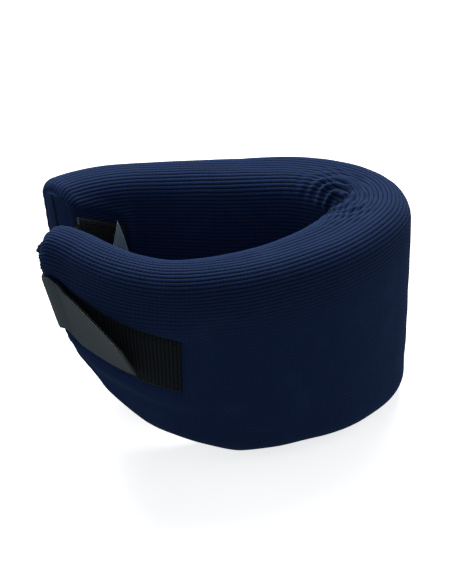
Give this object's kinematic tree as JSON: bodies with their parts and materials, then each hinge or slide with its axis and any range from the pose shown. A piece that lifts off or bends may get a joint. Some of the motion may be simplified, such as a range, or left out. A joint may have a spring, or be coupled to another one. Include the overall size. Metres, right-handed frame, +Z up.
{
  "type": "soft cervical collar",
  "caption": "Soft foam neck collar in a ribbed navy knit cover, folded into a ring and closed by a hook strap on a loop patch.",
  "frame": {"origin": "middle of the outline's box, on the surface that the collar stands on", "axes": "+X towards the fold, +Y towards the far half, +Z up"},
  "size_m": [0.1678, 0.1264, 0.1116],
  "materials": {
    "navy_knit": "ribbed stockinette knit",
    "navy_seam": "gathered knit seam",
    "foam": "open cell foam",
    "black_loop": "woven loop tape",
    "black_hook": "hook tape face",
    "grey_tape": "woven tape back",
    "black_thread": "sewing thread"
  },
  "bodies": {
    "near_half": {"foam_core_near": "foam", "knit_cover_near": "navy_knit", "near_end_seam": "navy_seam", "loop_patch": "black_loop", "loop_patch_stitching": "black_thread"},
    "far_half": {"foam_core_far": "foam", "knit_cover_far": "navy_knit", "far_end_seam": "navy_seam", "strap_anchor": "black_hook", "strap_anchor_stitching": "black_thread"},
    "tape_bridge": {"strap_bridge": "grey_tape"},
    "tape_end": {"closure_strap": "grey_tape", "hook_field": "black_hook"}
  },
  "joints": [
    {"name": "front_fold", "type": "hinge", "parent": "near_half", "child": "far_half", "pos_m": [0.0835, 0.02832, 0], "axis": [0, 0, -1], "range_deg": [0, 30], "stiffness_Nm_per_rad": 0.02},
    {"name": "strap_swing", "type": "hinge", "parent": "far_half", "child": "tape_bridge", "pos_m": [-0.06515, 0.01632, 0.08394], "axis": [0, 0, -1], "range_deg": [0, 60]},
    {"name": "strap_peel", "type": "hinge", "parent": "tape_bridge", "child": "tape_end", "pos_m": [-0.07921, -0.02464, 0.08394], "axis": [0.2106, 0.1377, -0.9678], "range_deg": [0, 90]}
  ],
  "couplings": [
    {"joint": "strap_swing", "follows": "front_fold", "ratio": 2},
    {"joint": "strap_peel", "follows": "front_fold", "ratio": 3}
  ]
}
